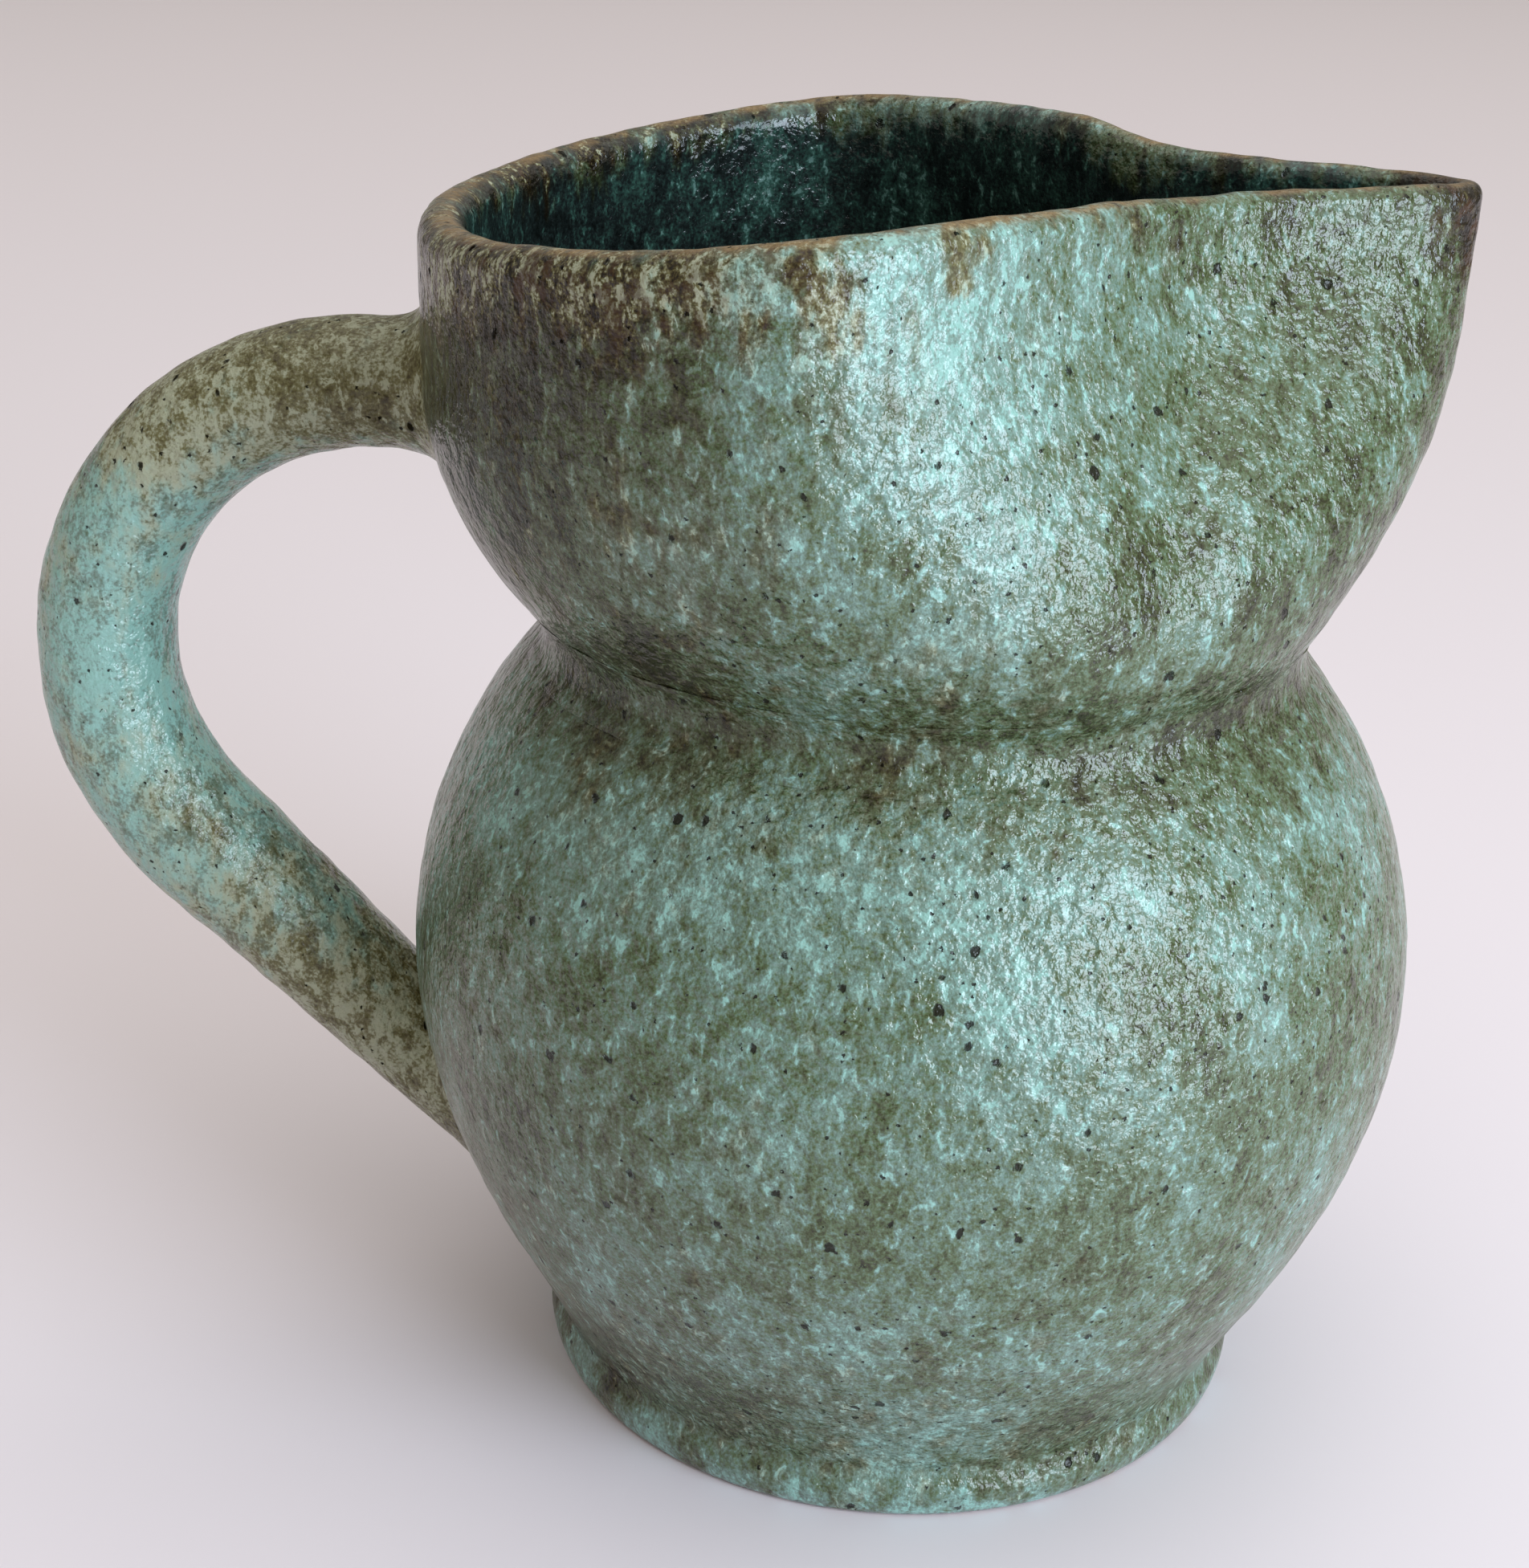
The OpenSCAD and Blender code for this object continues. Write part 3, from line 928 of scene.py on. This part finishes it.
GREENS = (
    (0.0, "25270F"),
    (0.2, "3C4625"),
    (0.4, "526346"),
    (0.6, "62796B"),
    (0.8, "718D83"),
    (1.0, "86AFA5"),
)
BROWNS = ((0.0, "19130A"), (0.25, "302715"), (0.5, "4C4528"), (0.75, "6B6746"), (1.0, "9DA088"))
LININGS = ((0.0, "0E1211"), (0.35, "1C2423"), (0.6, "283E38"), (0.85, "3A5C52"), (1.0, "60807A"))


@dataclass(frozen=True)
class Glaze:
    """A verdigris glaze: how pale and brown it lies on one sub-assembly, from the foot to the rim."""

    name: str
    bands: tuple[Band, ...]
    top: float = 188 * MM
    spout_tip: Triple = (72 * MM, 0.0, 183 * MM)
    handle_side: Stretch = (5 * MM, -55 * MM)
    spout_side: Stretch = (0.0, 44 * MM)
    bowl_start: Stretch = (128 * MM, 152 * MM)
    rim_outside: Stretch = (3 * MM, -1 * MM)
    rim_band: Stretch = (-16 * MM, -3 * MM)
    rim_runs: Stretch = (-8 * MM, -1 * MM)
    tip_reach: Stretch = (17 * MM, 5 * MM)
    edge_outside: Stretch = (-1.8 * MM, -0.6 * MM)
    edge_inside: Stretch = (1.6 * MM, 0.6 * MM)
    lining_start: Stretch = (0.5 * MM, 7 * MM)
    edge_gaps: Stretch = (0.35, 0.6)
    run_gaps: Stretch = (0.45, 0.6)
    rust_gaps: Stretch = (0.5, 0.6)
    browning: Stretch = (0.12, 0.85)
    edge: str = "8C7048"
    edge_share: float = 0.7
    pit: str = "15120C"
    pit_share: float = 0.92
    rust: str = "3E2817"
    rust_share: float = 0.85
    rim_contrast: float = 1.8
    lining_tone: float = 0.38
    lining_contrast: float = 1.1
    roughness: tuple[float, float] = (0.12, 0.28)
    bump: float = 0.8 * MM
    refraction: float = 1.52
    shine: float = 0.6

    def material(self, pattern: bpy.types.NodeTree) -> bpy.types.Material:
        """Builds the glaze's material from the shared pattern group and returns it."""
        made, sheet, shader = new_material(self.name)
        place = sheet.add("ShaderNodeTexCoord").outputs["Object"]
        field_node = sheet.tree.nodes.new("ShaderNodeGroup")
        field_node.node_tree = pattern
        sheet.fill(field_node, Coordinates=place)
        masks = {socket.name: socket for socket in field_node.outputs}
        rim_node = sheet.tree.nodes.new("ShaderNodeAttribute")
        rim_node.attribute_name = OVER_RIM
        over = rim_node.outputs["Fac"]
        fray = sheet.mixture(
            (20 * MM, masks["Patch"]), (14 * MM, masks["Streak"]), (10 * MM, masks["Stain"])
        )
        ragged = sheet.sum("ADD", over, fray)
        pale, brown, rusty = self.lie(sheet, place, masks, ragged)
        colour = sheet.blend(brown, sheet.ramp(pale, GREENS), sheet.ramp(pale, BROWNS))
        colour = sheet.blend(rusty, colour, linear(self.rust))
        line = sheet.both(sheet.ease(over, *self.edge_outside), sheet.ease(over, *self.edge_inside))
        line = sheet.both(line, sheet.ease(masks["Blotch"], *self.edge_gaps))
        colour = sheet.blend(sheet.both(line, self.edge_share), colour, linear(self.edge))
        colour = sheet.blend(sheet.both(masks["Pit"], self.pit_share), colour, linear(self.pit))
        inside = sheet.ease(ragged, *self.lining_start)
        lining = sheet.ramp(sheet.changed(self.lining_tone, (masks["Tone"], self.lining_contrast)), LININGS)
        smoothest, roughest = self.roughness
        rough = sheet.changed(smoothest, (masks["Patch"], roughest - smoothest))
        strength = sheet.changed(1.0, (inside, -0.6))
        bump = sheet.add("ShaderNodeBump", Height=masks["Height"], Distance=self.bump, Strength=strength)
        sheet.fill(
            shader,
            Base_Color=sheet.blend(inside, colour, lining),
            Roughness=sheet.both(rough, sheet.changed(1.0, (inside, -0.3))),
            Normal=bump.outputs["Normal"],
            IOR=self.refraction,
            Specular_IOR_Level=sheet.changed(self.shine, (brown, -0.3), (masks["Pit"], -0.3)),
        )
        return made

    def lie(
        self, sheet: NodeSheet, place: Socket, masks: dict[str, Socket], ragged: Socket
    ) -> tuple[Socket, ...]:
        """Works out how pale and how brown the glaze lies, with painted shade darkening the handle side.

        Args:
            sheet: the material's nodes.
            place: the coordinates.
            masks: the shared pattern's outputs.
            ragged: the distance over the rim, frayed.

        Returns:
            The paleness, the brownness and the rust, from about 0 to 1.
        """
        axes = sheet.add("ShaderNodeSeparateXYZ", Vector=place).outputs
        wander = sheet.mixture((30 * MM, masks["Patch"]), (20 * MM, masks["Blotch"]))
        level = sheet.sum("DIVIDE", sheet.sum("ADD", axes["Z"], wander), self.top)
        stops = [(band.height / self.top, (band.pale, band.brown, 0.0, 1.0)) for band in self.bands]
        lying = sheet.steps(level, stops)
        channels = sheet.add("ShaderNodeSeparateColor", Color=lying.outputs[0]).outputs
        handle_half = sheet.ease(axes["X"], *self.handle_side)
        spout_half = sheet.ease(axes["X"], *self.spout_side)
        on_bowl = sheet.ease(axes["Z"], *self.bowl_start)
        bowl_half_brown_and_shade = sheet.both(on_bowl, handle_half)
        spout_flank = sheet.both(on_bowl, spout_half)
        band = sheet.both(sheet.ease(ragged, *self.rim_band), sheet.ease(ragged, *self.rim_outside))
        below_rim = sheet.both(band, handle_half)
        away = sheet.tree.nodes.new("ShaderNodeVectorMath")
        away.operation = "DISTANCE"
        sheet.put(away.inputs[0], place)
        sheet.put(away.inputs[1], self.spout_tip)
        tip = sheet.ease(away.outputs["Value"], *self.tip_reach)
        runs = sheet.ease(masks["Blotch"], *self.run_gaps)
        edge = sheet.both(sheet.ease(ragged, *self.rim_runs), runs)
        contrast = sheet.changed(1.0, (below_rim, self.rim_contrast))
        # Painted shade: the paleness taken off the handle side, most of all on the bowl, darkens the side
        # that lies away from the window. It is partly the glaze's own darker olive and partly painted
        # shade; the brown added on that side is the glaze's own.
        pale = sheet.changed(
            sheet.sum("MULTIPLY_ADD", masks["Tone"], contrast, channels[0]),
            (handle_half, -0.12),
            (spout_half, -0.16),
            (bowl_half_brown_and_shade, -0.42),
            (spout_flank, -0.26),
            (below_rim, 0.44),
            (tip, -0.25),
            (edge, -0.12),
        )
        stains = sheet.mixture((1.3, masks["Blotch"]), (1.2, masks["Stain"]), (0.5, masks["Streak"]))
        brown = sheet.changed(
            sheet.sum("ADD", channels[1], stains),
            (handle_half, 0.12),
            (bowl_half_brown_and_shade, 0.3),
            (below_rim, 0.65),
            (tip, 0.9),
            (edge, 0.45),
        )
        rust_spots = sheet.both(sheet.ease(masks["Stain"], *self.rust_gaps), self.rust_share)
        rusty = sheet.both(sheet.sum("MAXIMUM", below_rim, tip), rust_spots)
        return pale, sheet.ease(brown, *self.browning), rusty


@dataclass(frozen=True)
class BareClay:
    """The unglazed clay of the underside."""

    name: str = "bare_clay"
    light: str = "9A8A74"
    dark: str = "6E6152"
    roughness: float = 0.85
    bump: float = 0.2 * MM
    grog: Cloud = Cloud(900, detail=4, roughness=0.65)
    grog_range: Stretch = (0.35, 0.65)

    def material(self) -> bpy.types.Material:
        """Builds the clay's material and returns it."""
        made, sheet, shader = new_material(self.name)
        grog = self.grog.value(sheet, sheet.add("ShaderNodeTexCoord").outputs["Object"])
        colour = sheet.blend(sheet.ease(grog, *self.grog_range), linear(self.dark), linear(self.light))
        bump = sheet.add("ShaderNodeBump", Height=grog, Distance=self.bump)
        sheet.fill(shader, Base_Color=colour, Roughness=self.roughness, Normal=bump.outputs["Normal"])
        return made


@dataclass(frozen=True)
class Lamp:
    """A soft lamp that faces the jug: its width and height, its place, its watts and its linear colour."""

    name: str
    size: tuple[float, float]
    place: Triple
    power: float
    colour: Triple
    target: Triple = (0.0, 0.0, 0.1)

    def hang(self) -> None:
        """Hangs the lamp."""
        lamp = bpy.data.lights.new(self.name, "AREA")
        lamp.shape = "RECTANGLE"
        lamp.size, lamp.size_y = self.size
        lamp.energy = self.power
        lamp.color = self.colour
        hung = bpy.data.objects.new(self.name, lamp)
        hung.location = self.place
        aim = Vector(self.target) - hung.location
        hung.rotation_euler = aim.to_track_quat("-Z", "Y").to_euler()
        bpy.context.scene.collection.objects.link(hung)


@dataclass
class Studio:
    """The pale floor, the soft light and the camera."""

    floor_size: float = 12.0
    floor_cuts: int = 8
    floor_colour: str = "E8E0E7"
    floor_roughness: float = 0.45
    world_colour: str = "F6F1E6"
    world_light: float = 0.40
    window: Lamp = Lamp("window", (0.8, 1.1), (1.05, -0.85, 0.42), 27.0, (0.73, 0.86, 1.0))
    ceiling: Lamp = Lamp("ceiling", (6.5, 6.5), (0.5, 0.1, 3.2), 120.0, (1.0, 0.97, 0.93))
    camera_place: Triple = (0.0, -0.34436, 0.23386)
    camera_pitch: float = 0.393
    camera_yaw: float = -0.065
    camera_roll: float = 0.029
    focal_pixels: float = 3093.65
    picture_height: float = 1953.0
    sensor: float = 36.0

    def floor(self) -> None:
        """Lays the floor."""
        bm = bmesh.new()
        cuts = self.floor_cuts
        bmesh.ops.create_grid(bm, x_segments=cuts, y_segments=cuts, size=self.floor_size / 2)
        mesh = bpy.data.meshes.new("floor")
        bm.to_mesh(mesh)
        bm.free()
        made, sheet, shader = new_material("floor_paint")
        sheet.fill(shader, Base_Color=linear(self.floor_colour), Roughness=self.floor_roughness)
        mesh.materials.append(made)
        floor = bpy.data.objects.new("floor", mesh)
        bpy.context.scene.collection.objects.link(floor)

    def light(self) -> None:
        """Lights the room evenly, with a bright ceiling and one tall window on the spout's side."""
        world = bpy.data.worlds.new("room")
        world.use_nodes = True
        sheet = NodeSheet(world.node_tree)
        background = world.node_tree.nodes["Background"]
        sheet.fill(background, Color=linear(self.world_colour), Strength=self.world_light)
        bpy.context.scene.world = world
        self.window.hang()
        self.ceiling.hang()

    def camera(self) -> None:
        """Stands the camera where the photograph was taken from."""
        pitch, yaw, roll = self.camera_pitch, self.camera_yaw, self.camera_roll
        ahead = Vector((math.sin(yaw) * math.cos(pitch), math.cos(yaw) * math.cos(pitch), -math.sin(pitch)))
        right = Vector((math.cos(yaw), -math.sin(yaw), 0))
        up = right.cross(ahead)
        tilted_right = right * math.cos(roll) + up * math.sin(roll)
        tilted_up = up * math.cos(roll) - right * math.sin(roll)
        turned = Matrix((tilted_right, tilted_up, -ahead)).transposed()
        lens = bpy.data.cameras.new("camera")
        lens.sensor_width = self.sensor
        lens.lens = self.focal_pixels / self.picture_height * self.sensor
        camera = bpy.data.objects.new("camera", lens)
        camera.matrix_world = Matrix.Translation(self.camera_place) @ turned.to_4x4()
        bpy.context.scene.collection.objects.link(camera)
        bpy.context.scene.camera = camera

    def build(self) -> None:
        """Makes the whole studio and sets plain colours for the picture."""
        self.floor()
        self.light()
        self.camera()
        bpy.context.scene.view_settings.view_transform = "Standard"


BODY_GLAZE = Glaze(
    name="body_glaze",
    bands=(
        Band(0.0, 0.50, 0.30),
        Band(9 * MM, 0.52, 0.35),
        Band(30 * MM, 0.62, 0.25),
        Band(60 * MM, 0.54, 0.12),
        Band(85 * MM, 0.57, 0.06),
        Band(104 * MM, 0.75, 0.04),
        Band(111 * MM, 0.56, 0.20),
        Band(117 * MM, 0.37, 0.30),
        Band(126 * MM, 0.40, 0.30),
        Band(136 * MM, 0.52, 0.24),
        Band(150 * MM, 0.73, 0.12),
        Band(178 * MM, 0.69, 0.12),
    ),
)
FOOT_GLAZE = Glaze(
    name="foot_glaze",
    bands=(
        Band(0.0, 1.0, 0.0),
        Band(1.5 * MM, 0.90, 0.0),
        Band(4 * MM, 0.54, 0.25),
        Band(9 * MM, 0.52, 0.35),
    ),
)
HANDLE_GLAZE = Glaze(
    name="handle_glaze",
    bands=(
        Band(22 * MM, 0.70, 1.00),
        Band(45 * MM, 0.90, 1.10),
        Band(68 * MM, 0.98, 0.45),
        Band(112 * MM, 1.12, -0.10),
        Band(132 * MM, 1.10, 0.20),
        Band(152 * MM, 1.26, 0.55),
    ),
)


def dress(pieces: list[Piece], materials: list[bpy.types.Material]) -> None:
    """Gives some pieces their materials, in order."""
    for piece in pieces:
        for made in materials:
            piece.data.materials.append(made)


def main() -> None:
    """Builds the jug from the foot up, dresses it and sets the studio round it."""
    logging.basicConfig(level=logging.INFO, format="%(name)s: %(message)s")
    foot = Foot()
    belly = Belly(foot)
    bowl = Bowl(belly)
    handle = Handle(bowl)
    foot_pieces = foot.build()
    body_pieces = [belly.build(), WaistFillet(bowl).build(), bowl.build()]
    handle_pieces = [handle.build(), *RootFillets(handle).build()]
    pattern = GlazeField().group()
    dress(foot_pieces, [FOOT_GLAZE.material(pattern), BareClay().material()])
    dress(body_pieces, [BODY_GLAZE.material(pattern)])
    dress(handle_pieces, [HANDLE_GLAZE.material(pattern)])
    Studio().build()


if __name__ == "__main__":
    main()
